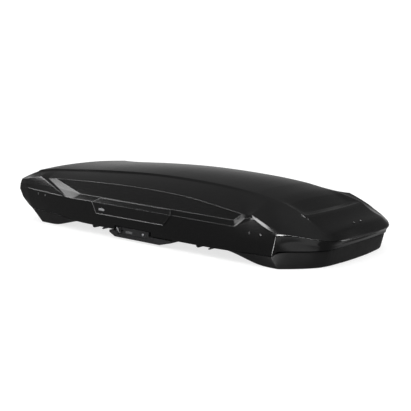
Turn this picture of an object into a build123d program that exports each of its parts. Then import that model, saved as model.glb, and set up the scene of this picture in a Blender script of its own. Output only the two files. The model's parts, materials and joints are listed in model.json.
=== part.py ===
from build123d import *
import math
import os

# Roof cargo box, millimetres. +X is the driving direction, +Y is left, +Z is up.
# Origin: on the ground plane under the middle of the box, the lowest point of the tray at Z = 0.

# ---------------------------------------------------------------- driving dimensions
LID_WALL = 3.5            # thickness of the moulded lid
TRAY_WALL = 4.0           # thickness of the moulded tray
CROWN = 13.0              # rise of the roof between its two ridges
STEP_OUT = 16.0           # width of the small step under each roof ridge
STEP_DOWN = (10.0, 7.3)   # its depth along the sides, and at the nose

AXIS_Y = 449.0            # hinge axes of the two-sided lid, one along each side
AXIS_Z = 56.0
PIN_R = 2.5               # hinge pins
KNUCKLE_R = 4.2
RUNNING = 0.06            # radial clearance of a running fit
OPEN_PIVOT = 0.5          # radial clearance of the rear arm's free pivot
FRONT_ARM_X = 540.0
REAR_ARM_X = -470.0
ARM_Z = (84.0, 92.0)      # the lifter arms lie just above the tray's rim
ARM_W = 18.0

FLOOR_Z = 40.0            # underside of the tray between its two bulges
CLAMP_XS = (391.0, -405.0)
CLAMP_Y = 375.0
CLAMP_GAP = 43.0          # half of the clear width between a clamp's two claws
JAW_BOTTOM = 16.0
SPINDLE_R = 6.0

POD_X = (-237.0, 226.0)   # the lock pod under each side's lower edge
POD_FOOT_X = (-193.0, 146.0)
POD_Z = (9.5, 41.5)
POD_FACE_Y = 461.0
LOCK_X = (-182.0, 68.0)   # the upright part of the lock housing
LOCK_TOP = 66.5
LOCK_FACE_Y = 459.5
STRIKER_XS = (-330.0, 430.0)
STRIKER_Z = 68.0
KEY_X, KEY_Z, KEY_R = 21.0, 46.0, 7.0
NOTCH = (-196.0, 84.0, 71.0)   # cut-out of the lid's lower edge over the lock housing
RAIL_X = (-540.0, 600.0)
RAIL_Z = (98.0, 118.0)
RIVET_R = 4.5
RIVETS_SIDE = ((731.0, 153.0), (797.0, 153.0), (-864.0, 178.0), (-800.0, 174.0))
RIVET_NOSE = (1037.0, 32.0, 181.1, 24.5)   # place of the left one, and the slope of the nose

os.makedirs("parts", exist_ok=True)

# ---------------------------------------------------------------- feature lines of the shells
# Each line runs round one half of the box, from the middle of the rear end, along the left side,
# to the middle of the nose: 18 points each, in the same order, so that neighbours can be joined.
RIDGE = [                 # crest of the roof's ridge; the roof plate lies inside it
    (-1000, 0, 319), (-996, 190, 315), (-985, 350, 304), (-968, 342, 305.5), (-935, 318, 310),
    (-880, 296, 312.5), (-800, 278, 316), (-440, 254, 334), (-90, 241, 342), (250, 235, 333),
    (500, 237, 315), (600, 238, 303), (680, 239, 289), (790, 246, 267), (850, 256, 249),
    (905, 267, 229), (918, 135, 228), (922, 0, 228),
]
SHOULDER = [              # outer edge of the shoulder, and top edge of the long side recess
    (-1084, 0, 256), (-1076, 220, 254), (-1044, 447, 253), (-1003, 452, 259), (-862, 436, 281),
    (-814, 422, 272.7), (-757, 414, 277.7), (-250, 420, 291), (20, 420, 290), (300, 420, 277),
    (667, 427, 231), (694, 434, 234), (734, 446, 239), (867, 440, 183), (885, 429, 174),
    (1034, 254, 164), (1046, 130, 170), (1050, 0, 172),
]
RECESS = [                # foot of the recess wall; elsewhere the upper bevel of the side edge
    (-1098, 0, 225), (-1088, 220, 224), (-1056, 452, 225), (-988, 457, 231), (-736, 448, 234),
    (-698, 440, 226.6), (-505, 436, 210.5), (-250, 436, 208), (20, 436, 204.5), (300, 436, 200.5),
    (620, 436, 195.2), (704, 457.5, 220), (745, 457, 226), (878, 454, 168), (900, 436, 165),
    (1074, 254, 131), (1094, 129, 131), (1100, 0, 131),
]
LEDGE = [                 # the long convex edge: ledge under the recess, then the beak of the nose
    (-1105, 0, 190), (-1094, 220, 190), (-1061, 455, 193), (-972, 460, 204), (-606, 460.6, 185.5),
    (-596, 460.8, 184.5), (-545, 461, 183.5), (-250, 461, 182), (20, 461, 179.5), (300, 461, 176.5),
    (633, 461, 172.5), (656, 460.8, 174), (745, 460, 220), (883, 460, 160), (903, 439, 158.5),
    (1077, 253, 125), (1098, 128, 125), (1105, 0, 125),
]
WAIST = [                 # middle of the side wall, and the hollow under the beak
    (-1085, 0, 135), (-1072, 220, 136), (-1034, 452, 141), (-965, 458, 140), (-780, 460, 135),
    (-660, 460, 130), (-545, 460, 120), (-250, 460, 115), (20, 460, 113), (300, 460, 112),
    (620, 460, 112), (656, 460, 114), (742, 460, 130), (872, 459, 112), (893, 437, 122),
    (1058, 264, 104), (1073, 135, 105), (1078, 0, 105),
]
LID_EDGE = [              # lower edge of the lid
    (-1030, 0, 90), (-1022, 220, 91), (-989, 440, 94), (-950, 452, 87), (-800, 459, 80),
    (-690, 459, 73), (-545, 459, 58), (-250, 459, 49), (20, 459, 47), (300, 459, 47),
    (600, 459, 50), (656, 459, 53), (740, 459, 58), (857, 457, 60), (880, 441, 83),
    (1050, 271, 86), (1061, 138, 87), (1064, 0, 87),
]
RIM = [                   # top of the tray's rim, inside the lid
    (-1000, 0, 100), (-998, 215, 100), (-988, 398, 100), (-930, 432, 98), (-790, 436, 95),
    (-690, 436, 88), (-545, 436, 78), (-250, 436, 78), (20, 436, 78), (300, 436, 78),
    (600, 436, 78), (656, 436, 78), (735, 436, 80), (838, 434, 84), (872, 412, 96),
    (1030, 262, 98), (1039, 136, 98), (1041, 0, 98),
]
BELT = [                  # widest line of the tray, just under the lid's edge
    (-1025, 0, 86), (-1017, 218, 87), (-984, 435, 90), (-946, 447, 83), (-800, 454, 76),
    (-690, 454, 69), (-560, 440, 49), (-250, 437, 45), (20, 437, 45), (300, 437, 45),
    (600, 439, 45), (656, 450, 49), (740, 453, 54), (850, 452, 56), (877, 437, 79),
    (1045, 270, 82), (1056, 138, 83), (1059, 0, 83),
]
SOLE = [                  # lower edge of the tray: deep at both ends, shallow over the roof bars
    (-932, 0, 0), (-932, 210, 0), (-928, 396, 0), (-880, 428, 0), (-750, 430, 0),
    (-690, 430, 9), (-590, 430, FLOOR_Z), (-250, 430, FLOOR_Z), (20, 430, FLOOR_Z),
    (300, 430, FLOOR_Z), (600, 432, FLOOR_Z), (676, 438, 24), (790, 441, 0), (880, 441, 0),
    (905, 420, 0), (1022, 272, 0), (1044, 146, 0), (1050, 0, 0),
]
REAR_CORNER, NOSE_CORNER = 2, 15   # where each line turns from the end to the side


# ---------------------------------------------------------------- moulded shells from feature lines
def between(line_a, line_b, share=0.5, swell=0.0):
    """Line at a share of the way from one feature line to another, raised by swell."""
    mid = []
    for a, b in zip(line_a, line_b):
        x, y, z = (p + (q - p) * share for p, q in zip(a, b))
        mid.append((x, y, z + swell))
    return mid


def ridge_foot():
    """Foot of the small step that runs under the roof's ridge."""
    foot = []
    for k, (ridge, edge) in enumerate(zip(RIDGE, SHOULDER)):
        dx, dy = edge[0] - ridge[0], edge[1] - ridge[1]
        share = STEP_OUT / math.hypot(dx, dy)
        down = STEP_DOWN[0] if k < NOSE_CORNER else STEP_DOWN[1]
        foot.append((ridge[0] + dx * share, ridge[1] + dy * share, ridge[2] - down))
    return foot


def plate_rows(line, rise):
    """Rows across the flat plate inside a line, from its edge (row 0) to the middle (last row)."""
    rows = [line[REAR_CORNER:NOSE_CORNER + 1]]
    middle_x = [p[0] for p in rows[0]]
    middle_x[0], middle_x[-1] = line[0][0], line[-1][0]
    ends = ((line[1], line[-2]), (line[0], line[-1]))
    for share, (rear, front) in zip((0.5, 1.0), ends):
        row = []
        for (x, y, z), mx in zip(rows[0], middle_x):
            row.append((x + (mx - x) * share, y * (1 - share), z + rise * (1 - (1 - share) ** 2)))
        row[0], row[-1] = rear, front
        rows.append(row)
    return rows


class Skin:
    """Triangle skin of a shell that is open on one side, mirrored about the XZ plane."""

    def __init__(self, open_below):
        self.open_below = open_below
        self.points = []
        self.index = {}
        self.triangles = []

    def vertex(self, p):
        key = tuple(round(c, 4) for c in p)
        if key not in self.index:
            self.index[key] = len(self.points)
            self.points.append(Vector(*p))
        return self.index[key]

    def triangle(self, a, b, c):
        corners = [self.vertex(p) for p in (a, b, c)]
        if self.open_below:
            corners.reverse()
        if len(set(corners)) == 3:
            self.triangles.append(corners)

    def quad(self, a, b, c, d):
        mirror = [(p[0], -p[1], p[2]) for p in (a, b, c, d)]
        self.triangle(a, b, c)
        self.triangle(a, c, d)
        self.triangle(mirror[0], mirror[2], mirror[1])
        self.triangle(mirror[0], mirror[3], mirror[2])

    def band(self, upper, lower):
        for i in range(len(upper) - 1):
            self.quad(upper[i], lower[i], lower[i + 1], upper[i + 1])

    def plate(self, rows):
        for outer, inner in zip(rows, rows[1:]):
            for i in range(len(outer) - 1):
                self.quad(inner[i], outer[i], outer[i + 1], inner[i + 1])

    def normals(self):
        total = [Vector(0, 0, 0) for _ in self.points]
        for a, b, c in self.triangles:
            n = (self.points[b] - self.points[a]).cross(self.points[c] - self.points[a])
            for corner in (a, b, c):
                total[corner] = total[corner] + n
        return [n.normalized() for n in total]

    def solid(self, wall, rim, rim_level=True):
        """Closed shell: the skin, its inner offset by wall, and a strip along the open rim."""
        inner = []
        rim_ids = {self.vertex(p) for p in rim} | {self.vertex((p[0], -p[1], p[2])) for p in rim}
        for i, (p, n) in enumerate(zip(self.points, self.normals())):
            if i in rim_ids and rim_level:
                n = Vector(n.X, n.Y, 0).normalized()
            inner.append(p - n * wall)
        faces = [self.face(self.points, t) for t in self.triangles]
        faces += [self.face(inner, t[::-1]) for t in self.triangles]
        loop = [self.vertex(p) for p in rim]
        loop += [self.vertex((p[0], -p[1], p[2])) for p in rim[-2:0:-1]]
        for a, b in zip(loop, loop[1:] + loop[:1]):
            both = [self.points[a], self.points[b], inner[b], inner[a]]
            faces.append(self.face(both, (0, 1, 2)))
            faces.append(self.face(both, (0, 2, 3)))
        return closed(faces)

    @staticmethod
    def face(points, corners):
        return Face(Wire.make_polygon([points[i] for i in corners], close=True))


def closed(faces):
    solid = Solid(Shell(faces))
    return solid if solid.volume > 0 else -solid


# ---------------------------------------------------------------- small helpers
def box(x, y, z):
    """Box from three (low, high) pairs."""
    size = [hi - lo for lo, hi in (x, y, z)]
    return Pos(*[(lo + hi) / 2 for lo, hi in (x, y, z)]) * Box(*size)


def rod(axis, radius, low, high, at):
    """Cylinder along axis from low to high; at gives the other two coordinates in X, Y, Z order."""
    length, mid = high - low, (low + high) / 2
    if axis == "X":
        return Pos(mid, *at) * Rot(0, 90, 0) * Cylinder(radius, length)
    if axis == "Y":
        return Pos(at[0], mid, at[1]) * Rot(90, 0, 0) * Cylinder(radius, length)
    return Pos(*at, mid) * Cylinder(radius, length)


def on_side(shape, side):
    """A shape drawn on the left side (+Y), mirrored to the right side when side is 'right'."""
    return shape if side == "left" else shape.mirror(Plane.XZ)


def save(name, shape):
    solids = shape.solids() if hasattr(shape, "solids") else list(shape)
    shape = solids[0] if len(solids) == 1 else Compound(children=list(solids))
    export_step(shape, f"parts/{name}.step")


def group(name, shapes):
    solids = [solid for shape in shapes for solid in shape.solids()]
    export_step(Compound(children=solids), f"parts/{name}.step")


SIDES = {"left": 1, "right": -1}


# ---------------------------------------------------------------- lid
def lid_shell():
    foot = ridge_foot()
    shoulder_mid = between(foot, SHOULDER, 0.5, 3.0)
    skin = Skin(open_below=True)
    skin.plate(plate_rows(RIDGE, CROWN))
    lines = [RIDGE, foot, shoulder_mid, SHOULDER, RECESS, LEDGE, WAIST, LID_EDGE]
    for upper, lower in zip(lines, lines[1:]):
        skin.band(upper, lower)
    shell = skin.solid(LID_WALL, LID_EDGE)
    low, high, top = NOTCH
    for s in SIDES.values():
        shell = shell - box((low, high), sorted((s * 430, s * 480)), (0, top))
    return shell


def lid_line(line, x):
    """Half-width and height of a feature line at a place along the side."""
    side = line[REAR_CORNER:NOSE_CORNER + 1]
    for a, b in zip(side, side[1:]):
        if a[0] <= x <= b[0]:
            t = (x - a[0]) / (b[0] - a[0])
            return a[1] + (b[1] - a[1]) * t, a[2] + (b[2] - a[2]) * t
    raise ValueError("no side there")


def lid_bow(x, width, depth=6.0, clear=LID_WALL + 5.0):
    """Transverse stiffening bow inside the lid, from one side wall over the roof to the other."""
    foot = ridge_foot()
    outline = [lid_line(line, x) for line in (RECESS, SHOULDER, foot, RIDGE)]
    top = outline[-1][1] + CROWN * 0.9
    half = [(y, z) for y, z in outline]
    outer = [(y - clear, z - clear) for y, z in half] + [(0, top - clear)]
    inner = [(y - depth, z - depth) for y, z in outer[:-1]] + [(0, top - clear - depth)]
    foot_z = outline[0][1] - 45
    outer = [(outline[0][0] - clear - 4, foot_z)] + outer
    inner = [(outline[0][0] - clear - 4 - depth, foot_z)] + inner
    ring = outer + [(-y, z) for y, z in outer[-2::-1]]
    ring += [(-y, z) for y, z in inner] + [(y, z) for y, z in inner[-2::-1]]
    face = Face(Wire.make_polygon([(x - width / 2, y, z) for y, z in ring], close=True))
    return extrude(face, amount=width, dir=(1, 0, 0))


def handle_plate():
    """Grip trim on the lid's side: its upper facet follows the ledge, its lower facet the wall."""
    proud, gap = 4.6, 0.6
    low_y = 460.4
    rows = [
        [(-308, 436.5, 210), (211, 436.5, 203)],
        [(-377, 461, 183.5), (235, 461, 177.0)],
        [(-341, low_y, 118), (177, low_y, 116)],
    ]
    out = [(0, 0.8, 0.6), (0, 1, 0.25), (0, 1, 0)]
    faces = []

    def shifted(amount):
        return [[Vector(x, y + o[1] * amount, z + o[2] * amount) for x, y, z in row]
                for row, o in zip(rows, out)]

    front, back = shifted(proud), shifted(gap)
    grid = []
    for layer, flip in ((front, False), (back, True)):
        for a, b in zip(layer, layer[1:]):
            corners = [a[0], a[1], b[1], b[0]]
            grid.append(corners[::-1] if flip else corners)
    loop = [(0, 0), (0, 1), (1, 1), (2, 1), (2, 0), (1, 0)]
    for (i, j), (k, m) in zip(loop, loop[1:] + loop[:1]):
        grid.append([front[i][j], back[i][j], back[k][m], front[k][m]])
    for corners in grid:
        faces.append(Skin.face(corners, (0, 1, 2)))
        faces.append(Skin.face(corners, (0, 2, 3)))
    return closed(faces)


def lid_rail():
    """Steel strip inside the lid's side wall that carries the strikers."""
    rail = box(RAIL_X, (451.0, 455.0), RAIL_Z)
    for x in STRIKER_XS:
        rail += box((x - 12, x + 12), (450.0, 454.0), (61, RAIL_Z[0] + 2))
    return rail


def strikers():
    return [rod("Y", PIN_R, 438.5, 450.0, (x, STRIKER_Z)) for x in STRIKER_XS]


def lid_hinge_bracket(x):
    """Two ears on the lid's wall that hold the hinge pin of a lifter arm."""
    ears = box((x - 26, x + 26), (453.4, 455.2), (52, 82))
    for s in (-1, 1):
        lo, hi = sorted((x + s * 12, x + s * 20))
        ears += box((lo, hi), (445.0, 455.2), (51.5, 66))
    return ears - rod("X", PIN_R, x - 40, x + 40, (AXIS_Y, AXIS_Z))


def lid_rivets():
    """Rivet heads: two pairs on each side wall and one pair on the nose."""
    heads = []
    for x, z in RIVETS_SIDE:
        for s in SIDES.values():
            heads.append(rod("Y", RIVET_R, *sorted((s * 460.5, s * 462.5)), (x, z)))
    for y in (-RIVET_NOSE[1], RIVET_NOSE[1]):
        place = Pos(RIVET_NOSE[0], y, RIVET_NOSE[2]) * Rot(0, RIVET_NOSE[3], 0)
        heads.append(place * Cylinder(RIVET_R, 2.4))
    return heads


# ---------------------------------------------------------------- lifter arms
def lifter_arm(x, lid_bore, base_bore):
    """Arm across the box: hinged to the tray on the left, to the lid on the right."""
    half = ARM_W / 2
    arm = box((x - half, x + half), (-452, 452), ARM_Z)
    for s in (-1, 1):
        arm += box((x - half, x + half), sorted((s * 446, s * 452)), (AXIS_Z, ARM_Z[1]))
        arm += rod("X", KNUCKLE_R, x - half, x + half, (s * AXIS_Y, AXIS_Z))
    arm -= rod("X", lid_bore, x - 30, x + 30, (-AXIS_Y, AXIS_Z))
    arm -= rod("X", base_bore, x - 30, x + 30, (AXIS_Y, AXIS_Z))
    return arm


def arm_cover(x):
    """Channel cover clipped over the middle of an arm."""
    half = ARM_W / 2
    cover = box((x - half - 4, x + half + 4), (-330, 330), (ARM_Z[0] + 1, ARM_Z[1] + 5))
    return cover - box((x - half, x + half), (-340, 340), (ARM_Z[0] - 1, ARM_Z[1]))


def tray_hinge_bracket(x):
    """Two ears on the tray's rim that hold a lifter arm's pin, with a spring post beside them."""
    ears = box((x - 26, x + 46), (436.6, 438.6), (51.5, 76))
    for s in (-1, 1):
        lo, hi = sorted((x + s * 12, x + s * 20))
        ears += box((lo, hi), (436.6, 453.0), (51.5, 62))
    ears += box((x + 40, x + 46), (436.6, 453.0), (51.5, 62))
    return ears - rod("X", PIN_R, x - 60, x + 60, (AXIS_Y, AXIS_Z))


def lifter_spring(x):
    """Close-wound torsion spring round the tray's pin, with its tail on the bracket."""
    coil = rod("X", 3.9, x + 21, x + 39, (AXIS_Y, AXIS_Z))
    coil -= rod("X", PIN_R + 0.2, x + 20, x + 40, (AXIS_Y, AXIS_Z))
    return coil


# ---------------------------------------------------------------- tray
def tray_shell():
    foot = [(r[0], r[1], b[2] + 3) for r, b in zip(RIM, BELT)]
    skin = Skin(open_below=False)
    skin.plate(plate_rows(SOLE, 0.0))
    for lower, upper in zip([SOLE, BELT, foot], [BELT, foot, RIM]):
        skin.band(lower, upper)
    shell = skin.solid(TRAY_WALL, RIM)
    for x in CLAMP_XS:
        for y in (-CLAMP_Y, CLAMP_Y):
            for s in (-1, 1):
                lo, hi = sorted((x + s * (CLAMP_GAP - 1.5), x + s * (CLAMP_GAP + 9.5)))
                shell -= box((lo, hi), (y - 22, y + 22), (30, 50))
    return shell


def cross_beam(x):
    """Steel plate across the tray's floor under a pair of clamps."""
    z = FLOOR_Z + TRAY_WALL
    beam = box((x - 38, x + 38), (-330, 330), (z, z + 3))
    for y in (-200, 0, 200):
        beam -= box((x - 22, x + 22), (y - 60, y + 60), (z - 1, z + 4))
    return beam


def tray_rail():
    """Steel strip along the inside of the tray's wall."""
    return box((-540, 600), (427.0, 431.0), (52, 74))


def rim_seal():
    """Rubber strip that sits on the tray's rim."""
    ring = [(x, y, z) for x, y, z in RIM] + [(x, -y, z) for x, y, z in RIM[-2:0:-1]]
    count = len(ring)
    faces = []
    section = ((-0.4, 0.2), (3.2, 0.2), (3.2, 4.0), (-0.4, 4.0))
    loops = []
    for i, (x, y, z) in enumerate(ring):
        a, b = ring[i - 1], ring[(i + 1) % count]
        across = Vector(b[1] - a[1], a[0] - b[0], 0).normalized()
        if across.dot(Vector(x, y, 0)) < 0:
            across = across * -1
        loops.append([Vector(x, y, z + up) - across * inward for inward, up in section])
    for i in range(count):
        one, two = loops[i], loops[(i + 1) % count]
        for j in range(4):
            k = (j + 1) % 4
            corners = [one[j], one[k], two[k], two[j]]
            faces.append(Skin.face(corners, (0, 1, 2)))
            faces.append(Skin.face(corners, (0, 2, 3)))
    return closed(faces)


# ---------------------------------------------------------------- locks, one on each side
def lock_housing():
    """Pod under the lid's edge, with an upright block that carries the slider and the key."""
    low, high = POD_Z
    face = [(POD_X[0], low + 20), (POD_FOOT_X[0], low), (POD_FOOT_X[1], low), (POD_X[1], low + 20),
            (POD_X[1], high), (POD_X[0], high)]
    outer = Face(Wire.make_polygon([(x, POD_FACE_Y, z) for x, z in face], close=True))
    pod = extrude(outer, amount=POD_FACE_Y - 438.0, dir=(0, -1, 0))
    under = [(x, z) for x, z in face[:4]] + [(POD_X[1], FLOOR_Z - 0.3), (POD_X[0], FLOOR_Z - 0.3)]
    skid = Face(Wire.make_polygon([(x, 438.0, z) for x, z in under], close=True))
    pod += extrude(skid, amount=53, dir=(0, -1, 0))
    pod += box(LOCK_X, (448.0, LOCK_FACE_Y), (high - 1, LOCK_TOP))
    pod -= box((LOCK_X[0] + 10, LOCK_X[1] - 10), (455.0, 470), (24, LOCK_TOP + 5))
    for pocket in ((POD_FOOT_X[0] + 4, -26), (-22, POD_FOOT_X[1] - 4)):
        pod -= box(pocket, (389, 434), (low + 3.5, FLOOR_Z))
    slot = box((-171.5, -130), (440, 470), (43, 51.5))
    return pod - slot - rod("Y", KEY_R + RUNNING, 447, 470, (KEY_X, KEY_Z))


def lock_slider():
    """Grip on the lock's face with a stem that reaches the bar behind."""
    grip = box((-172, -145), (455.4, 459.0), (30, 62))
    grip += box((-162, -155), (458.0, 460.8), (32, 60))
    return grip + box((-168, -154), (445.2, 456.0), (44, 50.5))


def lock_bar():
    """Sliding bar with a hook for each striker, shown released."""
    bar = box((-385, 440), (440.2, 445.0), (44, 52))
    for x in STRIKER_XS:
        bar += box((x - 37.5, x - 25.5), (440.2, 445.0), (50, 76))
        bar += box((x - 27, x - 7.5), (440.2, 445.0), (STRIKER_Z + 3.5, 76))
    return bar


def key_cylinder():
    barrel = rod("Y", KEY_R, 447.4, 457.0, (KEY_X, KEY_Z))
    return barrel - box((KEY_X - 0.9, KEY_X + 0.9), (453.5, 460), (KEY_Z - 4, KEY_Z + 4))


def bar_guides():
    """Two staples on the tray's wall that the lock bar slides in."""
    guides = []
    for x in (-250, 250):
        guide = box((x - 8, x + 8), (437.2, 446.0), (53, 57))
        guides.append(guide + box((x - 8, x + 8), (437.2, 439.4), (45.5, 57)))
    return guides


# ---------------------------------------------------------------- roof-bar clamps
def clamp_housing(x, y):
    z = FLOOR_Z + TRAY_WALL + 0.2
    body = box((x - 64, x + 64), (y - 32, y + 32), (z, 74))
    body = fillet(body.edges().filter_by(Axis.Z), 10)
    body -= box((x - 56, x + 56), (y - 26, y + 26), (z - 1, 70.5))
    return body - rod("Z", SPINDLE_R + RUNNING, 60, 80, (x, y))


def clamp_knob(x, y):
    knob = rod("Z", 27, 74.4, 90, (x, y))
    knob = chamfer(knob.edges().group_by(Axis.Z)[-1], 3)
    for turn in range(8):
        angle = math.radians(45 * turn)
        knob -= rod("Z", 6, 70, 95, (x + 30 * math.cos(angle), y + 30 * math.sin(angle)))
    return knob


def clamp_spindle(x, y):
    return rod("Z", SPINDLE_R, 46, 74.4, (x, y))


def clamp_jaw(x, y):
    """Bridge on the spindle with two claws that hook under the roof bar from both sides."""
    jaw = box((x - 51, x + 51), (y - 19, y + 19), (62.5, 68))
    for s in (-1, 1):
        leg = sorted((x + s * CLAMP_GAP, x + s * (CLAMP_GAP + 8)))
        lip = sorted((x + s * (CLAMP_GAP - 13), x + s * (CLAMP_GAP + 8)))
        jaw += box(leg, (y - 19, y + 19), (JAW_BOTTOM, 68))
        jaw += box(lip, (y - 19, y + 19), (JAW_BOTTOM, JAW_BOTTOM + 4.5))
    return jaw - rod("Z", SPINDLE_R + 0.3, 50, 80, (x, y))


def clamp_pads():
    pads = []
    for x in CLAMP_XS:
        for y in (-CLAMP_Y, CLAMP_Y):
            pads.append(box((x - 30, x + 30), (y - 34, y + 34), (FLOOR_Z - 2.5, FLOOR_Z)))
    return pads


# ---------------------------------------------------------------- build every sub-part
def build():
    save("lid_shell", lid_shell())
    save("tray_shell", tray_shell())
    for name, x in (("front", 640.0), ("middle", 0.0), ("rear", -650.0)):
        save(f"lid_bow_{name}", lid_bow(x, 34))
    for side in SIDES:
        save(f"handle_plate_{side}", on_side(handle_plate(), side))
        save(f"lid_rail_{side}", on_side(lid_rail(), side))
        group(f"strikers_{side}", [on_side(pin, side) for pin in strikers()])
        save(f"tray_rail_{side}", on_side(tray_rail(), side))
        save(f"lock_housing_{side}", on_side(lock_housing(), side))
        save(f"lock_slider_{side}", on_side(lock_slider(), side))
        save(f"lock_bar_{side}", on_side(lock_bar(), side))
        save(f"key_cylinder_{side}", on_side(key_cylinder(), side))
        group(f"lock_bar_guides_{side}", [on_side(guide, side) for guide in bar_guides()])
    save("rim_seal", rim_seal())
    group("lid_rivets", lid_rivets())
    arms = (("front", FRONT_ARM_X, RUNNING), ("rear", REAR_ARM_X, OPEN_PIVOT))
    for name, x, lid_clearance in arms:
        save(f"{name}_lifter_arm", lifter_arm(x, PIN_R + lid_clearance, PIN_R + RUNNING))
        save(f"{name}_lifter_cover", arm_cover(x))
        save(f"{name}_lid_bracket", on_side(lid_hinge_bracket(x), "right"))
        save(f"{name}_tray_bracket", tray_hinge_bracket(x))
        save(f"{name}_lid_pin", rod("X", PIN_R, x - 22, x + 22, (-AXIS_Y, AXIS_Z)))
        save(f"{name}_tray_pin", rod("X", PIN_R, x - 22, x + 48, (AXIS_Y, AXIS_Z)))
        save(f"{name}_lifter_spring", lifter_spring(x))
    for end, x in zip(("front", "rear"), CLAMP_XS):
        save(f"cross_beam_{end}", cross_beam(x))
        for side, s in SIDES.items():
            place = (x, s * CLAMP_Y)
            save(f"clamp_housing_{end}_{side}", clamp_housing(*place))
            save(f"clamp_knob_{end}_{side}", clamp_knob(*place))
            save(f"clamp_spindle_{end}_{side}", clamp_spindle(*place))
            save(f"clamp_jaw_{end}_{side}", clamp_jaw(*place))
    group("clamp_pads", clamp_pads())


build()
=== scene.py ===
import json
import math

import bpy
import numpy as np
from mathutils import Matrix, Vector


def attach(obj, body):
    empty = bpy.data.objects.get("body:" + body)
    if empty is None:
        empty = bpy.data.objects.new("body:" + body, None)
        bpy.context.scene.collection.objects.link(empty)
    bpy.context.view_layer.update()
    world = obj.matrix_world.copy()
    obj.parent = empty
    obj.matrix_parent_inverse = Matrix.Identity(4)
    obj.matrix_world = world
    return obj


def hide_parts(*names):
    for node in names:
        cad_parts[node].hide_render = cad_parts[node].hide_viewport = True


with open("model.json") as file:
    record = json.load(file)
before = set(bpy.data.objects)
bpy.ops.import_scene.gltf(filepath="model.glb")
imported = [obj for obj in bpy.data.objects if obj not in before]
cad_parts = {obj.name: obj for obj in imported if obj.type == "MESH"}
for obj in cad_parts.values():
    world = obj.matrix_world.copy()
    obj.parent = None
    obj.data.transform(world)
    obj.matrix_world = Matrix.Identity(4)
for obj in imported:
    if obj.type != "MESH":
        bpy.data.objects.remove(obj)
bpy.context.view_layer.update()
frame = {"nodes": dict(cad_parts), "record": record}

# Roof cargo box, looks only. The scene is in metres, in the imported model's frame: +X is the nose and
# +Z is up. The feature lines and sizes below are the CAD model's own, in millimetres, scaled by MM.
MM = 0.001

# ---------------------------------------------------------------- feature lines and sizes
# Each line runs round the left half, from the middle of the rear to the middle of the nose. The same
# column number is the same place round the box on every line.
RIDGE = [
    (-1000, 0, 319), (-996, 190, 315), (-985, 350, 304), (-968, 342, 305.5), (-935, 318, 310),
    (-880, 296, 312.5), (-800, 278, 316), (-440, 254, 334), (-90, 241, 342), (250, 235, 333),
    (500, 237, 315), (600, 238, 303), (680, 239, 289), (790, 246, 267), (850, 256, 249),
    (905, 267, 229), (918, 135, 228), (922, 0, 228),
]
SHOULDER = [
    (-1084, 0, 256), (-1076, 220, 254), (-1044, 447, 253), (-1003, 452, 259), (-862, 436, 281),
    (-814, 422, 272.7), (-757, 414, 277.7), (-250, 420, 291), (20, 420, 290), (300, 420, 277),
    (667, 427, 231), (694, 434, 234), (734, 446, 239), (867, 440, 183), (885, 429, 174),
    (1034, 254, 164), (1046, 130, 170), (1050, 0, 172),
]
RECESS = [
    (-1098, 0, 225), (-1088, 220, 224), (-1056, 452, 225), (-988, 457, 231), (-736, 448, 234),
    (-698, 440, 226.6), (-505, 436, 210.5), (-250, 436, 208), (20, 436, 204.5), (300, 436, 200.5),
    (620, 436, 195.2), (704, 457.5, 220), (745, 457, 226), (878, 454, 168), (900, 436, 165),
    (1074, 254, 131), (1094, 129, 131), (1100, 0, 131),
]
LEDGE = [
    (-1105, 0, 190), (-1094, 220, 190), (-1061, 455, 193), (-972, 460, 204), (-606, 460.6, 185.5),
    (-596, 460.8, 184.5), (-545, 461, 183.5), (-250, 461, 182), (20, 461, 179.5), (300, 461, 176.5),
    (633, 461, 172.5), (656, 460.8, 174), (745, 460, 220), (883, 460, 160), (903, 439, 158.5),
    (1077, 253, 125), (1098, 128, 125), (1105, 0, 125),
]
WAIST = [
    (-1085, 0, 135), (-1072, 220, 136), (-1034, 452, 141), (-965, 458, 140), (-780, 460, 135),
    (-660, 460, 130), (-545, 460, 120), (-250, 460, 115), (20, 460, 113), (300, 460, 112),
    (620, 460, 112), (656, 460, 114), (742, 460, 130), (872, 459, 112), (893, 437, 122),
    (1058, 264, 104), (1073, 135, 105), (1078, 0, 105),
]
LID_EDGE = [
    (-1030, 0, 90), (-1022, 220, 91), (-989, 440, 94), (-950, 452, 87), (-800, 459, 80),
    (-690, 459, 73), (-545, 459, 58), (-250, 459, 49), (20, 459, 47), (300, 459, 47),
    (600, 459, 50), (656, 459, 53), (740, 459, 58), (857, 457, 60), (880, 441, 83),
    (1050, 271, 86), (1061, 138, 87), (1064, 0, 87),
]
RIM = [
    (-1000, 0, 100), (-998, 215, 100), (-988, 398, 100), (-930, 432, 98), (-790, 436, 95),
    (-690, 436, 88), (-545, 436, 78), (-250, 436, 78), (20, 436, 78), (300, 436, 78),
    (600, 436, 78), (656, 436, 78), (735, 436, 80), (838, 434, 84), (872, 412, 96),
    (1030, 262, 98), (1039, 136, 98), (1041, 0, 98),
]
BELT = [
    (-1025, 0, 86), (-1017, 218, 87), (-984, 435, 90), (-946, 447, 83), (-800, 454, 76),
    (-690, 454, 69), (-560, 440, 49), (-250, 437, 45), (20, 437, 45), (300, 437, 45),
    (600, 439, 45), (656, 450, 49), (740, 453, 54), (850, 452, 56), (877, 437, 79),
    (1045, 270, 82), (1056, 138, 83), (1059, 0, 83),
]
SOLE = [
    (-932, 0, 0), (-932, 210, 0), (-928, 396, 0), (-880, 428, 0), (-750, 430, 0),
    (-690, 430, 9), (-590, 430, 40), (-250, 430, 40), (20, 430, 40), (300, 430, 40),
    (600, 432, 40), (676, 438, 24), (790, 441, 0), (880, 441, 0), (905, 420, 0),
    (1022, 272, 0), (1044, 146, 0), (1050, 0, 0),
]
REAR_CORNER, NOSE_CORNER, LAST = 2, 15, 17
ROOF_RISE = ((2, 3, 12.5, 14, 15), (11.0, 13.0, 13.0, 8.0, -1.0))   # roof's middle over its edge, by column
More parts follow.
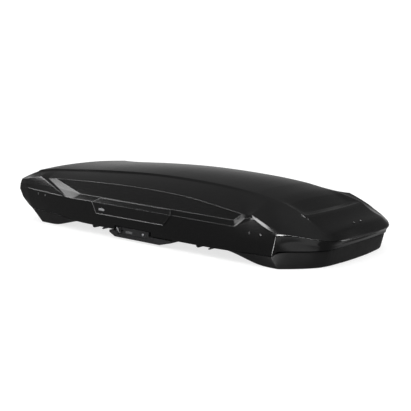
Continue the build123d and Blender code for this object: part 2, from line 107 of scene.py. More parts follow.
STEP_OUT = 16.0            # the small step under the ridge, and its depth by column
STEP_DOWN = ((0, 13, 14, 15, 17), (10.0, 10.0, 9.0, 7.4, 7.2))
SHELF = (44.0, 180.0)      # flat strip behind the front edge of the roof, and where it fades out
LIP = 2.5                  # inset of the rear quarter panel above the long edge
LID_WALL, TRAY_WALL = 3.5, 4.0
CUTOUT_X = (-196.0, 84.0)  # cut-out in the lid's lower edge, over the lock
FLOOR_HALF = 430.5         # half width of the tray's floor at the clamps
CLAMP_XS, CLAMP_Y = (391.0, -405.0), 375.0
SLOT_X, SLOT_Y = (41.5, 52.5), (353.0, 397.0)   # slots for the claws: from the clamp's middle, from y = 0
BEAD_HEIGHT, BEAD_X = 3.0, (-350, -320, 280, 310)    # raised beads along the floor, and their run-out
SPRING_XS = (540.0, -470.0)
AXIS_Y, AXIS_Z = 449.0, 56.0                    # axis of the tray's left hinge pins
RIVETS_SIDE = ((731, 153), (797, 153), (-864, 178), (-800, 174))
RIVET_WALL = 460.3
RIVET_NOSE = (1036.6, 32, 180.2)
RIVET_NOSE_SLOPE = 24.5
SIDES = (("left", 1), ("right", -1))
ENDS = ("front", "rear")

# how close a cage's support may come, as a share of the gap that it stands in
COLUMN_SUPPORT, ROW_SUPPORT = 0.28, 0.3
SAME_COLUMN = 0.012        # an added column replaces even ones that are nearer than this
TINY = 1e-6


# ---------------------------------------------------------------- curves through the feature points
def curve(points, sharp):
    """Function of the column number: a curve through the points, straight on at the sharp ones."""
    pts = np.array(points, float)
    step = np.diff(pts, axis=0)
    length = np.linalg.norm(step, axis=1)
    unit = step / length[:, None]

    def tangent(k, side):
        if k == 0:
            return np.array((0.0, 1.0, 0.0))
        if k == LAST:
            return np.array((0.0, -1.0, 0.0))
        if k in sharp:
            return unit[k] if side > 0 else unit[k - 1]
        weight = length[k - 1] + length[k]
        return (unit[k - 1] * length[k] + unit[k] * length[k - 1]) / weight

    def at(t):
        k = min(int(t + 1e-9), LAST - 1)     # a rounding error doesn't drop a column to the one before
        s = t - k
        a, b = tangent(k, 1) * length[k], tangent(k + 1, -1) * length[k]
        return (pts[k] * (2 * s**3 - 3 * s**2 + 1) + a * (s**3 - 2 * s**2 + s)
                + pts[k + 1] * (3 * s**2 - 2 * s**3) + b * (s**3 - s**2))

    return at


def on_ground(line):
    """The same curve, kept from dipping under the ground between its points."""
    def at(t):
        x, y, z = line(t)
        return np.array((x, y, max(z, 0.0)))
    return at


def column_at(points, x):
    """Column number at which a feature line passes a place along the side."""
    xs = [p[0] for p in points[REAR_CORNER:NOSE_CORNER + 1]]
    return REAR_CORNER + float(np.interp(x, xs, range(len(xs))))


def stops(reference, sharp, near, spacing, shares, extra=()):
    """Column numbers of the cage: the feature columns, a support beside each sharp one, even steps."""
    pts = np.array(reference, float)
    found = [REAR_CORNER * (1 - u) for u in reversed(shares)]
    for k in range(REAR_CORNER, NOSE_CORNER):
        length = np.linalg.norm(pts[k + 1] - pts[k])
        support = min(near / length, COLUMN_SUPPORT)
        lo = support if k in sharp else 0.0
        hi = 1 - (support if k + 1 in sharp else 0.0)
        count = max(1, round((hi - lo) * length / spacing))
        inside = [lo + (hi - lo) * i / count for i in range(count + 1)]
        found += [k + s for s in inside if 0 < s < 1] + [k + 1.0]
    found += [NOSE_CORNER + (LAST - NOSE_CORNER) * u for u in shares[1:]]
    for t in extra:
        found = [f for f in found if abs(f - t) > SAME_COLUMN or f == int(f)] + [t]
    return sorted(found)


def rows_between(a, b, near_a, near_b, count, swell=0.0, shares=None):
    """Cage rows from row a to row b, both left out: supports near each end, even steps between."""
    gap = np.maximum(np.linalg.norm(b - a, axis=1), TINY)
    lo = np.minimum(near_a / gap, ROW_SUPPORT)
    hi = 1 - np.minimum(near_b / gap, ROW_SUPPORT)
    if shares is None:
        shares = [i / (count + 1) for i in range(count + 2)]
        if not np.any(near_a):
            shares = shares[1:]
        if not np.any(near_b):
            shares = shares[:-1]
    rows = []
    for share in shares:
        s = (lo + (hi - lo) * share)[:, None]
        row = a + (b - a) * s
        row[:, 2] += 4 * swell * s[:, 0] * (1 - s[:, 0])
        rows.append(row)
    return rows


class Cage:
    """Quad mesh of the left half and its mirror image, with shared points on the middle line."""

    def __init__(self):
        self.points, self.index, self.faces = [], {}, []

    def vertex(self, p):
        key = tuple(round(float(c), 3) for c in p)
        if key not in self.index:
            self.index[key] = len(self.points)
            self.points.append([float(c) * MM for c in p])
        return self.index[key]

    def quad(self, corners):
        for side in (1, -1):
            ids = []
            for p in corners[::side]:
                i = self.vertex((p[0], side * p[1] if abs(p[1]) > TINY else 0.0, p[2]))
                if i not in ids:
                    ids.append(i)
            if len(ids) > 2:
                self.faces.append(ids)

    def sheet(self, rows, upward, skip=None):
        """Quads between the rows; skip(j, i) leaves out the one after row j and column i."""
        for j, (a, b) in enumerate(zip(rows, rows[1:])):
            for i in range(len(a) - 1):
                if skip and skip(j, i):
                    continue
                corners = [a[i], a[i + 1], b[i + 1], b[i]]
                self.quad(corners if upward else corners[::-1])


def plate(edge, cols, shares, rise, shelf=None):
    """Rows of the flat or crowned plate inside a feature line, from its edge to the middle line."""
    reach = 2                  # columns over which a row is pulled to the line's rear and nose
    edge_share = 0.15          # share of the way in at which the shelf is fully flat
    side = [t for t in cols if REAR_CORNER <= t <= NOSE_CORNER]
    outer = [edge(t) for t in side]
    rear = [edge(REAR_CORNER * (1 - u)) for u in shares]
    nose = [edge(NOSE_CORNER + (LAST - NOSE_CORNER) * u) for u in shares]
    rows = []
    for j, u in enumerate(shares):
        row = []
        for t, p in zip(side, outer):
            pull_nose = max(0.0, (t - NOSE_CORNER + reach) / reach) ** 2
            pull_rear = max(0.0, (REAR_CORNER + reach - t) / reach) ** 2
            x = p[0] + (nose[j][0] - nose[0][0]) * pull_nose + (rear[j][0] - rear[0][0]) * pull_rear
            row.append([x, p[1] * (1 - u), p[2] + rise(t) * (1 - (1 - u) ** 2)])
        row[0], row[-1] = list(rear[j]), list(nose[j])
        if shelf:
            level(row, shelf, min(1.0, u / edge_share))
        rows.append(np.array(row))
    return rows


def level(row, shelf, share):
    """Flattens the front end of a roof row into a strip that fades back into the roof."""
    flat, gone = shelf
    front_x, _, front_z = row[-1]
    height = np.interp(front_x - flat, [p[0] for p in row], [p[2] for p in row]) - front_z
    for p in row[:-1]:
        back = front_x - p[0]
        if back < flat:
            p[2] -= share * (p[2] - front_z)
        elif back < gone:
            s = (back - flat) / (gone - flat)
            p[2] -= share * height * (1 - s * s * (3 - 2 * s))


# ---------------------------------------------------------------- pieces
replaced_nodes = set()


def add_object(name, data):
    obj = bpy.data.objects.new(name, data)
    bpy.context.scene.collection.objects.link(obj)
    return obj


def new_piece(name, points, faces, body, material, replaced=()):
    """Mesh that moves with a body, and takes the place of the replaced CAD nodes."""
    mesh = bpy.data.meshes.new(name)
    mesh.from_pydata(points, [], faces)
    mesh.validate()
    mesh.polygons.foreach_set("use_smooth", [True] * len(mesh.polygons))
    mesh.materials.append(material)
    obj = add_object(name, mesh)
    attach(obj, body)
    if replaced:
        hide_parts(*replaced)
        replaced_nodes.update(replaced)
    return obj


def subdivide(obj, levels):
    mod = obj.modifiers.new("smooth", "SUBSURF")
    mod.levels = mod.render_levels = levels
    mod.boundary_smooth = "PRESERVE_CORNERS"


def thicken(obj, wall):
    mod = obj.modifiers.new("wall", "SOLIDIFY")
    mod.thickness = wall
    mod.offset = -1.0


def bevel_edges(obj, width, angle):
    mod = obj.modifiers.new("edges", "BEVEL")
    mod.width = width
    mod.segments = 3
    mod.limit_method = "ANGLE"
    mod.angle_limit = math.radians(angle)


# ---------------------------------------------------------------- materials
def surface(name, colour, roughness, ior=1.45, metallic=0.0, patch=0.25, patch_scale=3.0,
            rough_spread=0.06, grain=600.0, grain_depth=0.00004, grain_kind="NOISE"):
    """Moulded plastic, rubber or metal: tone and roughness drift in patches, with a fine grain."""
    low, high = 0.3, 0.7           # nearly all of a noise texture's values are between these
    finer = 9                      # roughness drifts in smaller patches than tone
    mat = bpy.data.materials.new(name)
    mat.use_nodes = True
    nodes, links = mat.node_tree.nodes, mat.node_tree.links
    shader = nodes["Principled BSDF"]
    shader.inputs["Metallic"].default_value = metallic
    shader.inputs["IOR"].default_value = ior
    place = nodes.new("ShaderNodeTexCoord")
    broad = nodes.new("ShaderNodeTexNoise")
    broad.inputs["Scale"].default_value = patch_scale
    broad.inputs["Detail"].default_value = 5.0
    links.new(place.outputs["Object"], broad.inputs["Vector"])
    tone = nodes.new("ShaderNodeValToRGB")
    tone.color_ramp.elements[0].position = low
    tone.color_ramp.elements[1].position = high
    tone.color_ramp.elements[0].color = [c * (1 - patch) for c in colour] + [1]
    tone.color_ramp.elements[1].color = [c * (1 + patch) for c in colour] + [1]
    links.new(broad.outputs["Fac"], tone.inputs["Fac"])
    links.new(tone.outputs["Color"], shader.inputs["Base Color"])
    fine = nodes.new("ShaderNodeTexNoise")
    fine.inputs["Scale"].default_value = patch_scale * finer
    fine.inputs["Detail"].default_value = 6.0
    links.new(place.outputs["Object"], fine.inputs["Vector"])
    spread = nodes.new("ShaderNodeMapRange")
    spread.inputs["From Min"].default_value = low
    spread.inputs["From Max"].default_value = high
    spread.inputs["To Min"].default_value = roughness - rough_spread
    spread.inputs["To Max"].default_value = roughness + rough_spread
    links.new(fine.outputs["Fac"], spread.inputs["Value"])
    links.new(spread.outputs["Result"], shader.inputs["Roughness"])
    if grain_kind == "CELLS":
        cells = nodes.new("ShaderNodeTexVoronoi")
        cells.feature = "SMOOTH_F1"
        cells.inputs["Scale"].default_value = grain
        height = cells.outputs["Distance"]
    else:
        cells = nodes.new("ShaderNodeTexNoise")
        cells.inputs["Scale"].default_value = grain
        cells.inputs["Detail"].default_value = 3.0
        height = cells.outputs["Fac"]
    links.new(place.outputs["Object"], cells.inputs["Vector"])
    bump = nodes.new("ShaderNodeBump")
    bump.inputs["Distance"].default_value = grain_depth
    bump.inputs["Strength"].default_value = 1.0
    links.new(height, bump.inputs["Height"])
    links.new(bump.outputs["Normal"], shader.inputs["Normal"])
    return mat


LID = surface("lid_gloss_black", (0.0035, 0.0035, 0.0036), 0.2, ior=1.27, patch=0.12,
              rough_spread=0.012, grain=260.0, grain_depth=0.00001)
TRAY = surface("tray_grained_black", (0.006, 0.006, 0.0062), 0.52, ior=1.25, grain=420.0,
               grain_depth=0.00025, grain_kind="CELLS")
TRIM = surface("trim_satin_black", (0.004, 0.004, 0.0042), 0.24, ior=1.28, patch=0.12,
               rough_spread=0.02, grain=500.0, grain_depth=0.00002)
DARK = surface("dark_textured_plastic", (0.011, 0.011, 0.012), 0.5, ior=1.3, grain=700.0,
               grain_depth=0.00018, grain_kind="CELLS")
RUBBER = surface("rubber_matte", (0.011, 0.011, 0.011), 0.75, ior=1.3, grain=500.0,
                 grain_depth=0.0001)
STEEL = surface("zinc_plated_steel", (0.56, 0.56, 0.58), 0.3, metallic=1.0, patch=0.12,
                patch_scale=40.0, grain=900.0)
ALUMINIUM = surface("aluminium_mill", (0.62, 0.63, 0.65), 0.38, metallic=1.0, patch=0.08,
                    patch_scale=14.0, grain=700.0)
BLACK_STEEL = surface("powder_coated_steel", (0.022, 0.022, 0.024), 0.46, ior=1.4, grain=850.0,
                      grain_depth=0.00012, grain_kind="CELLS")
RIVET = surface("black_rivet_steel", (0.03, 0.03, 0.031), 0.38, ior=1.5, patch=0.15,
                patch_scale=60.0, grain=900.0)
# painted highlight: a lighter colour for the rear end of the grip trim's rim, in place of the highlight
# along that edge
TRIM_PAINTED_HIGHLIGHT = surface("trim_painted_highlight", (0.075, 0.075, 0.077), 0.35, ior=1.5, patch=0.1, grain=500.0)
BADGE = surface("badge_satin_grey", (0.3, 0.3, 0.31), 0.35, ior=1.45, patch=0.1, patch_scale=30.0,
                grain=900.0)
LABEL = surface("label_matt_grey", (0.075, 0.075, 0.078), 0.5, ior=1.45, patch=0.15,
                patch_scale=30.0, grain=900.0)
BY_SLOT = {
    "lid_plastic": LID, "tray_plastic": TRAY, "trim_plastic": TRIM, "dark_plastic": DARK,
    "rubber": RUBBER, "bright_steel": STEEL, "aluminium": ALUMINIUM, "black_steel": BLACK_STEEL,
}


# ---------------------------------------------------------------- lid
def step_foot():
    """The line at the foot of the small step under the ridge."""
    foot = []
    for k, (ridge, edge) in enumerate(zip(RIDGE, SHOULDER)):
        dx, dy = edge[0] - ridge[0], edge[1] - ridge[1]
        reach = math.hypot(dx, dy) / STEP_OUT
        foot.append((ridge[0] + dx / reach, ridge[1] + dy / reach, ridge[2] - np.interp(k, *STEP_DOWN)))
    return foot


def roof_rise(t):
    return float(np.interp(t, *ROOF_RISE))


def lid():
    """The whole moulded lid, from the roof's middle line down to its lower edge."""
    kinks = {2, 3, 4, 5, 6, 10, 11, 12}
    corners = {REAR_CORNER, NOSE_CORNER}
    ridge_line = curve(RIDGE, corners)
    lines = [
        ridge_line, curve(step_foot(), corners), curve(SHOULDER, kinks), curve(RECESS, kinks),
        curve(LEDGE, kinks | {13}), curve(WAIST, {2, 3, 13}), curve(LID_EDGE, {2, 3, 13, 14}),
    ]
    shares = (0.0, 0.025, 0.1, 0.2, 0.45, 0.72, 1.0)
    low, high = [column_at(LID_EDGE, x) for x in CUTOUT_X]
    extra = [t + beside for t in (low, high) for beside in (-0.02, 0.0, 0.02)]
    extra += [13.7, 13.9, 14.15, 14.3, 14.5, 14.7, 14.85, 14.94]      # round the side of the nose
    middle = [tuple((p + q) / 2 for p, q in zip(a, b)) for a, b in zip(SHOULDER, LEDGE)]
    cols = stops(middle, kinks | {13}, 6.0, 70.0, shares, extra)
    ridge, foot_row, shoulder, recess, ledge, waist, edge = [
        np.array([line(t) for t in cols]) for line in lines]
    soft = np.interp(cols, (12.9, 13.3), (0.0, 60.0))     # no creases across the nose
    rows = [ridge]
    rows += rows_between(ridge, foot_row, 4.0, 5.0, 0) + [foot_row]
    swell = np.interp(cols, (11.0, 12.5), (3.0, -5.0))
    keen = np.interp(cols, (4.0, 4.3), (1.8, 3.5))        # the rear quarter panel's edge is sharper
    rows += rows_between(foot_row, shoulder, 6.0, keen + soft, 3, swell) + [shoulder]
    rows += rows_between(shoulder, recess, keen + soft, 4.0 + soft, 1) + [recess]
    rows += rows_between(recess, ledge, 3.0, 3.0, 0)
    rows[-1][:, 1] -= np.interp(cols, (2.0, 2.15, 3.9, 4.0), (0.0, LIP, LIP, 0.0))
    rows.append(ledge)
    rows += rows_between(ledge, waist, 5.0, 0.0, 2) + [waist]
    cutout_row = len(rows) + 2                            # the cut-out starts at the third row below
    rows += rows_between(waist, edge, 0.0, 0.0, 0, shares=(0.25, 0.56, 0.65, 0.75, 0.93)) + [edge]

    def in_cutout(j, i):
        return j >= cutout_row and low - TINY <= cols[i] and cols[i + 1] <= high + TINY

    cage = Cage()
    cage.sheet(rows, True, in_cutout)
    cage.sheet(plate(ridge_line, cols, shares, roof_rise, SHELF), False)
    obj = new_piece("lid_skin", cage.points, cage.faces, "lid", LID, ("lid_shell",))
    subdivide(obj, 2)
    thicken(obj, LID_WALL * MM)


def handle_plate(side, s):
    """Bevelled grip trim that follows the side wall's ledge, with a raised rim round its face. The rim's
    rear end is coloured lighter as a painted highlight.
    """
    lines = (((-308, 436.5, 210), (211, 436.5, 203)),          # top, ridge and foot, rear end first
             ((-377, 461, 183.5), (235, 461, 177)),
             ((-341, 460.4, 118), (177, 460.4, 116)))
    outward = ((0.8, 0.6), (1.0, 0.25), (1.0, 0.0))            # how each line stands out, in y and z
    rim_depth, face_depth, back_depth = 5.0, 3.2, 1.0
    rim_cells = 2                                              # rows and columns in the raised rim
    shares_x = (0.0, 0.006, 0.011, 0.018, 0.2, 0.4, 0.6, 0.8, 0.982, 0.989, 0.994, 1.0)
    bands = ((0, 1, (0.0, 0.1, 0.17, 0.26, 0.55, 0.86, 0.96)),
             (1, 2, (0.0, 0.05, 0.12, 0.4, 0.7, 0.87, 0.92, 0.96, 1.0)))
    rows = []
    for upper, lower, shares in bands:
        for w in shares:
            out = [outward[upper][i] * (1 - w) + outward[lower][i] * w for i in (0, 1)]
            row = []
            for u in shares_x:
                a, b = [np.array(lines[k][0]) * (1 - u) + np.array(lines[k][1]) * u for k in (upper, lower)]
                row.append((a * (1 - w) + b * w, out))
            rows.append(row)
    points, faces, painted_highlight_faces = [], [], []
    wide, high = len(shares_x), len(rows)

    def put(q, out, depth):
        points.append((q[0] * MM, s * (q[1] + out[0] * depth) * MM, (q[2] + out[1] * depth) * MM))
        return len(points) - 1

    def face(*ids):
        faces.append(ids if s < 0 else ids[::-1])

    def in_rim(i, count):
        return i < rim_cells or i >= count - rim_cells

    front = [[put(q, out, rim_depth if in_rim(j, high) or in_rim(i, wide) else face_depth)
              for i, (q, out) in enumerate(row)] for j, row in enumerate(rows)]
    back = {(j, i): put(*rows[j][i], back_depth) for j in range(high) for i in range(wide)
            if j in (0, high - 1) or i in (0, wide - 1)}
    for j in range(high - 1):
        for i in range(wide - 1):
            # the rim's rear columns get the lighter painted-highlight colour
            if i < rim_cells:
                painted_highlight_faces.append(len(faces))
            face(front[j][i], front[j + 1][i], front[j + 1][i + 1], front[j][i + 1])
    loop = [(0, i) for i in range(wide)] + [(j, wide - 1) for j in range(1, high)]
    loop += [(high - 1, i) for i in range(wide - 2, -1, -1)] + [(j, 0) for j in range(high - 2, 0, -1)]
    for (j, i), (m, k) in zip(loop, loop[1:] + loop[:1]):
        face(front[j][i], front[m][k], back[m, k], back[j, i])
    obj = new_piece(f"grip_trim_{side}", points, faces, "lid", TRIM,
                    (f"handle_plate_{side}",))
    # painted highlight on the rim's rear end
    obj.data.materials.append(TRIM_PAINTED_HIGHLIGHT)
    for i in painted_highlight_faces:
        obj.data.polygons[i].material_index = 1
    subdivide(obj, 3)


def lathe(profile, segments, lobes=0, depth=0.0):
    """Turned shape round +Z from (radius, height) points in mm, with scallops in its outer wall."""
    points, faces = [], []
    widest = max(r for r, _ in profile)
    for r, z in profile:
        for i in range(segments):
            angle = 2 * math.pi * i / segments
            cut = depth * max(0.0, math.cos(lobes * angle)) ** 2 * (r / widest) ** 4 if lobes else 0.0
            points.append(Vector(((r - cut) * math.cos(angle), (r - cut) * math.sin(angle), z)) * MM)
    for j in range(len(profile) - 1):
        for i in range(segments):
            k = (i + 1) % segments
            faces.append((j * segments + i, j * segments + k, (j + 1) * segments + k,
                          (j + 1) * segments + i))
    faces.append(tuple(range(segments))[::-1])
    faces.append(tuple(range((len(profile) - 1) * segments, len(profile) * segments)))
    return points, faces


def placed(parts):
    """Joins (points, faces, matrix) parts into one list of points and faces."""
    points, faces = [], []
    for part_points, part_faces, matrix in parts:
        start = len(points)
        points += [tuple(matrix @ p) for p in part_points]
        faces += [tuple(i + start for i in f) for f in part_faces]
    return points, faces


def rivets():
    head = lathe(((5.2, 0), (5.6, 0.5), (5.0, 1.3), (3.4, 2.1), (1.4, 2.5)), 20)
    parts = []
    for x, z in RIVETS_SIDE:
        for _, s in SIDES:
            turn = Matrix.Rotation(math.radians(-90 * s), 4, "X")
            parts.append((*head, Matrix.Translation(Vector((x, s * RIVET_WALL, z)) * MM) @ turn))
    x, y, z = RIVET_NOSE
    for _, s in SIDES:
        turn = Matrix.Rotation(math.radians(RIVET_NOSE_SLOPE), 4, "Y")
        parts.append((*head, Matrix.Translation(Vector((x, s * y, z)) * MM) @ turn))
    points, faces = placed(parts)
    new_piece("rivet_heads", points, faces, "lid", RIVET, ("lid_rivets",))


# ---------------------------------------------------------------- clamps, plates and springs
def knob(end, side, x, y):
    """Star grip with eight soft scallops and a dished top."""
    profile = ((20, 74.4), (24.5, 75.2), (27, 77.5), (27, 86), (25.5, 88.8), (21, 90), (13, 89.2),
               (11.5, 87.6), (5, 87.2))
    points, faces = lathe(profile, segments=96, lobes=8, depth=3.2)
    points = [p + Vector((x, y, 0)) * MM for p in points]
    name = f"{end}_{side}"
    new_piece(f"star_knob_{name}", points, faces, f"knob_{name}", DARK,
              (f"clamp_knob_{name}",))


def claws(end, side, x, y):
    """Bridge with two claws whose rounded feet hook under the roof bar from both sides."""
    half = [(0, 68), (49, 68), (50.7, 66), (51, 58), (51.4, 40), (51, 29), (49.2, 22.5), (45.5, 18.2),
            (40, 16.2), (34, 16.2), (31, 17.4), (30, 19.4), (31.4, 21.2), (35, 22.2), (39, 24.4),
            (42, 28.4), (43.2, 34), (43.2, 60), (41, 62.5), (0, 62.5)]
    loop = half + [(-px, pz) for px, pz in half[-2:0:-1]]
    count, half_width = len(loop), 19.0
    points = [((x + px) * MM, (y + s * half_width) * MM, pz * MM) for s in (-1, 1) for px, pz in loop]
    faces = [tuple(range(count))[::-1], tuple(range(count, 2 * count))]
    for i in range(count):
        k = (i + 1) % count
        faces.append((count + k, count + i, i, k))
    name = f"{end}_{side}"
    obj = new_piece(f"claws_{name}", points, faces, f"jaw_{name}", BLACK_STEEL,
                    (f"clamp_jaw_{name}",))
    bevel_edges(obj, 1.8 * MM, 50)


def tube(path, radius, sides):
    """Closed round tube along a path in mm."""
    points, faces = [], []
    for i, p in enumerate(path):
        ahead = (path[min(i + 1, len(path) - 1)] - path[max(i - 1, 0)]).normalized()
        across = ahead.cross(Vector((1.0, 0.15, 0.1))).normalized()
        up = across.cross(ahead)
        for j in range(sides):
            angle = 2 * math.pi * j / sides
            points.append((p + (across * math.cos(angle) + up * math.sin(angle)) * radius) * MM)
    for i in range(len(path) - 1):
        for j in range(sides):
            k = (j + 1) % sides
            faces.append((i * sides + j, (i + 1) * sides + j, (i + 1) * sides + k, i * sides + k))
    faces.append(tuple(range(sides)))
    faces.append(tuple(range((len(path) - 1) * sides, len(path) * sides))[::-1])
    return points, faces


def spring(end, x):
    """Torsion spring: a round wire wound round the hinge pin, with a straight tail."""
    wire, coil, turns, per_turn = 0.85, 3.35, 8, 24
    start, stop = x + 22.0, x + 38.5
    path = []
    for i in range(turns * per_turn + 1):
        angle = 2 * math.pi * i / per_turn
        along = start + (stop - start) * i / (turns * per_turn)
        path.append(Vector((along, AXIS_Y + coil * math.cos(angle), AXIS_Z + coil * math.sin(angle))))
    path.append(path[-1] + Vector((0.3, 0.4, 6.0)))
    path.append(path[-1] + Vector((0, -2.0, 9.0)))
    points, faces = tube(path, wire, 10)
    new_piece(f"{end}_coil_spring", points, faces, "tray", STEEL,
              (f"{end}_lifter_spring",))


def slab(name, centre, size, proud, body, material, lean=0.0):
    """Small blank plate with rounded corners, standing proud of a side wall."""
    (x, y, z), (wide, high) = centre, size
    s = 1 if y > 0 else -1
    corner = high * 0.22
    steps = 4                                                  # points in each rounded corner
    rings = ((1.0, 0.0), (1.0, proud * 0.6), (0.93, proud), (0.5, proud))      # (scale, height)
    loop = []
    for cx, cz, start in ((1, 1, 0), (-1, 1, 90), (-1, -1, 180), (1, -1, 270)):
        for step in range(steps):
            angle = math.radians(start + step * 90 / (steps - 1))
            loop.append((cx * (wide / 2 - corner) + corner * math.cos(angle),
                         cz * (high / 2 - corner) + corner * math.sin(angle)))
    count = len(loop)
    points, faces = [], []
    for shrink, out in rings:
        for dx, dz in loop:
            points.append(((x + (dx - lean * dz) * shrink) * MM, (y + s * out) * MM,
                           (z + dz * shrink) * MM))
    for ring in range(len(rings) - 1):
        for i in range(count):
            k = (i + 1) % count
            quad = (ring * count + i, ring * count + k, (ring + 1) * count + k, (ring + 1) * count + i)
            faces.append(quad if s < 0 else quad[::-1])
    caps = (tuple(range((len(rings) - 1) * count, len(rings) * count)), tuple(range(count))[::-1])
    faces += [cap if s < 0 else cap[::-1] for cap in caps]
    new_piece(name, points, faces, body, material)


def plates(side, s):
    """Blank plates in place of the photo's printing, and the leaning ridge on the lock's slider."""
    slab(f"badge_{side}", centre=(-294, s * 463.4, 147), size=(46, 12), proud=1.6,
         body="lid", material=BADGE)
    slab(f"slider_ridge_{side}", centre=(-166, s * 459.2, 48), size=(12, 30), proud=1.4,
         body=f"lock_{side}", material=BADGE, lean=0.75)
    slab(f"lock_label_{side}", centre=(-86, s * 454.9, 43), size=(52, 12), proud=0.8,
         body="tray", material=LABEL)


# ---------------------------------------------------------------- tray
def tray():
    """The whole moulded tray: a floor with beads and slots, its walls and the ledge under the rim."""
    kinks = {2, 3, 13}
    sole_line = on_ground(curve(SOLE, kinks))
    lines = [sole_line, curve(BELT, kinks | {14}), curve(RIM, kinks)]
    inner, outer = [1 - y / FLOOR_HALF for y in SLOT_Y]        # slots and beads as shares of the way in
    beads, bead_top, bead_foot = (0.3, 0.46, 0.62, 0.78), 0.015, 0.03
    shares = [0.0, 0.02, 0.9, 1.0]
    shares += [slot + beside for slot in (outer, inner) for beside in (-0.004, 0.0, 0.004)]
    shares += [bead + beside for bead in beads for beside in (-bead_foot, -bead_top, bead_top, bead_foot)]
    shares.sort()
    slot_starts, extra = [], []
    for x in CLAMP_XS:
        for lo, hi in ((x - SLOT_X[1], x - SLOT_X[0]), (x + SLOT_X[0], x + SLOT_X[1])):
            slot_starts.append(lo)
            extra += [lo - 2, lo, hi, hi + 2]
    cols = stops(SOLE, kinks, 14.0, 70.0, shares, [column_at(SOLE, x) for x in extra])
    sole, belt, rim = [np.array([line(t) for t in cols]) for line in lines]
    foot = rim.copy()
    foot[:, 2] = belt[:, 2] + 3
    rows = [sole]
    rows += rows_between(sole, belt, 9.0, 3.0, 1) + [belt]
    rows += [foot]
    rows += rows_between(foot, rim, 3.0, 0.0, 0) + [rim]
    cage = Cage()
    cage.sheet(rows, False)
    floor = plate(sole_line, cols, shares, lambda t: 0.0)
    for j, share in enumerate(shares):
        if any(abs(share - bead) < (bead_top + bead_foot) / 2 for bead in beads):
            for p in floor[j]:
                p[2] += BEAD_HEIGHT * np.interp(p[0], BEAD_X, (0, 1, 1, 0))

    def in_slot(j, i):
        if not outer - TINY <= shares[j] < inner - TINY:
            return False
        return any(abs(floor[j][i][0] - lo) < 0.6 for lo in slot_starts)     # columns are 2 mm apart here

    cage.sheet(floor, True, in_slot)
    obj = new_piece("tray_skin", cage.points, cage.faces, "tray", TRAY,
                    ("tray_shell",))
    subdivide(obj, 2)
    thicken(obj, TRAY_WALL * MM)


# ---------------------------------------------------------------- carried-over CAD nodes
EDGE_WIDTH = {"lock_housing": 0.0022, "lid_bow": 0.0018, "clamp_housing": 0.0022, "clamp_pads": 0.0009}
OTHER_EDGE_WIDTH = 0.0008


def dress_nodes():
    """Materials and rounded edges for the CAD nodes that no piece replaces."""
    for part in frame["record"]["subparts"]:
        node = frame["nodes"].get(part["node"])
        if node is None or part["node"] in replaced_nodes:
            continue
        material = BY_SLOT[part["material_slot"]]
        node.data.materials.clear()
        node.data.materials.append(material)
        weld = node.modifiers.new("weld", "WELD")
        weld.merge_threshold = 0.00001
        widths = [w for key, w in EDGE_WIDTH.items() if part["node"].startswith(key)]
        bevel_edges(node, widths[0] if widths else OTHER_EDGE_WIDTH, 35)


# ---------------------------------------------------------------- floor, light, camera
def stage():
    half = 30
    mesh = bpy.data.meshes.new("floor")
    mesh.from_pydata([(-half, -half, 0), (half, -half, 0), (half, half, 0), (-half, half, 0)], [],
                     [(0, 1, 2, 3)])
    floor = add_object("floor", mesh)
    floor.location.z = -0.0005            # just under the tray
    mat = surface("pale_floor", (0.3, 0.3, 0.3), 0.9, patch=0.01, patch_scale=0.6, grain_depth=0.0)
    shader = mat.node_tree.nodes["Principled BSDF"]
    shader.inputs["Emission Color"].default_value = (1, 1, 1, 1)
    shader.inputs["Emission Strength"].default_value = 0.75
    mesh.materials.append(mat)
    floor.visible_glossy = False


def softbox(name, at, towards, size, glow, everywhere=True):
    """Rectangular light by its brightness; a highlight card lights nothing but the reflections."""
    data = bpy.data.lights.new(name, "AREA")
    data.shape = "RECTANGLE"
    data.size, data.size_y = size
    data.energy = glow * math.pi * size[0] * size[1]
    light = add_object(name, data)
    light.location = at
    light.rotation_euler = (Vector(towards) - Vector(at)).to_track_quat("-Z", "Y").to_euler()
    light.visible_camera = False
    light.visible_diffuse = everywhere


# brightness of the world by the height of the direction, from straight down to straight up
SKY = ((-1.0, 0.3), (-0.1, 0.38), (0.0, 0.55), (0.04, 0.49), (0.07, 0.4), (0.1, 0.33), (0.17, 0.23),
       (0.24, 0.175), (0.33, 0.15), (0.5, 0.165), (0.75, 0.25), (0.9, 0.6), (1.0, 0.8))


# lights by name, place, the point that each faces, size and brightness
FILLS = (
    ("side_fill", (-2.9, -2.9, 1.2), (0, -0.4, 0.2), (2.6, 1.6), 0.3),
    ("nose_fill", (2.4, 2.2, 1.6), (1.1, 0, 0.13), (1.6, 1.0), 0.6),
)
CARDS = (
    ("long_strip", (-2.3, -2.85, 2.0), (-2.3, -0.45, 0.2), (4.8, 0.55), 28.0),
    ("rear_card", (-1.3, -0.97, 0.83), (-0.68, -0.45, 0.23), (0.42, 0.3), 10.0),
    ("notch_card", (0.6, -0.95, 2.35), (0.81, -0.46, 0.2), (0.5, 0.5), 42.0),
    ("nose_card", (2.39, -0.86, 2.15), (0.99, -0.36, 0.15), (0.6, 0.6), 10.0),
    ("far_card", (3.1, 1.9, 1.06), (1.1, 0, 0.13), (0.6, 0.6), 18.0),
    ("grip_card", (0.0, -1.6, 0.004), (0.0, -1.6, 1), (0.25, 0.3), 17.0),
    ("band_card", (1.15, -0.52, 0.004), (1.15, -0.52, 1), (0.2, 0.26), 2.0),
    ("brow_card", (1.9, -0.79, 1.89), (1.0, -0.35, 0.15), (0.8, 0.8), 70.0),
    ("tail_card", (-4.95, -0.06, 2.24), (0.66, -0.45, 0.2), (2.6, 1.0), 3.2),
    ("floor_card", (0.905, -0.7, 0.004), (0.905, -0.7, 1), (0.1, 0.25), 60.0),
)


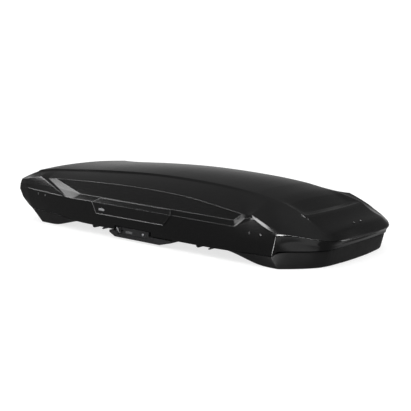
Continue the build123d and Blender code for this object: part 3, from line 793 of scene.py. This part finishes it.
def sky():
    world = bpy.data.worlds.new("studio")
    bpy.context.scene.world = world
    world.use_nodes = True
    nodes, links = world.node_tree.nodes, world.node_tree.links
    place = nodes.new("ShaderNodeTexCoord")
    split = nodes.new("ShaderNodeSeparateXYZ")
    links.new(place.outputs["Generated"], split.inputs["Vector"])
    ramp = nodes.new("ShaderNodeValToRGB")
    elements = ramp.color_ramp.elements
    while len(elements) < len(SKY):
        elements.new(0.5)
    for element, (height, glow) in zip(elements, SKY):
        element.position = (height + 1) / 2
        element.color = (glow, glow, glow, 1)
    turn = nodes.new("ShaderNodeMapRange")
    turn.inputs["From Min"].default_value = -1.0
    links.new(split.outputs["Z"], turn.inputs["Value"])
    links.new(turn.outputs["Result"], ramp.inputs["Fac"])
    links.new(ramp.outputs["Color"], nodes["Background"].inputs["Color"])


def lights():
    overhead = bpy.data.lights.new("overhead", "SUN")
    overhead.energy = 2.7
    overhead.angle = math.radians(120)
    light = add_object("overhead", overhead)
    light.rotation_euler = (math.radians(-12), math.radians(-10), 0)
    light.visible_glossy = False
    for fill in FILLS:
        softbox(*fill)
    for card in CARDS:
        softbox(*card, everywhere=False)


def backdrop():
    """Plain white surround, seen behind the box but not in its reflections."""
    points, faces = [], []
    count, radius, foot, top = 48, 29.0, -0.2, 20.0
    for z in (foot, top):
        for i in range(count):
            angle = 2 * math.pi * i / count
            points.append((radius * math.cos(angle), radius * math.sin(angle), z))
    for i in range(count):
        k = (i + 1) % count
        faces.append((i, k, count + k, count + i))
    mesh = bpy.data.meshes.new("backdrop")
    mesh.from_pydata(points, [], faces)
    obj = add_object("backdrop", mesh)
    mat = bpy.data.materials.new("backdrop_white")
    mat.use_nodes = True
    shader = mat.node_tree.nodes["Principled BSDF"]
    shader.inputs["Emission Color"].default_value = (1, 1, 1, 1)
    shader.inputs["Emission Strength"].default_value = 1.0
    mesh.materials.append(mat)
    obj.visible_glossy = obj.visible_diffuse = obj.visible_shadow = obj.visible_transmission = False


def camera():
    """The photo's viewing angle: to the right of the nose and above the lid."""
    place, forward = (2.812, -3.180, 0.862), Vector((-0.6445, 0.7462, -0.1670))
    data = bpy.data.cameras.new("camera")
    data.lens = 65.7
    data.sensor_width = 36.0
    cam = add_object("camera", data)
    cam.location = place
    cam.rotation_euler = forward.to_track_quat("-Z", "Y").to_euler()
    bpy.context.scene.camera = cam


lid()
tray()
rivets()
for side, s in SIDES:
    handle_plate(side, s)
    for end, x in zip(ENDS, CLAMP_XS):
        knob(end, side, x, s * CLAMP_Y)
        claws(end, side, x, s * CLAMP_Y)
    plates(side, s)
for end, x in zip(ENDS, SPRING_XS):
    spring(end, x)
dress_nodes()
stage()
backdrop()
sky()
lights()
camera()
bpy.context.scene.view_settings.view_transform = "Standard"
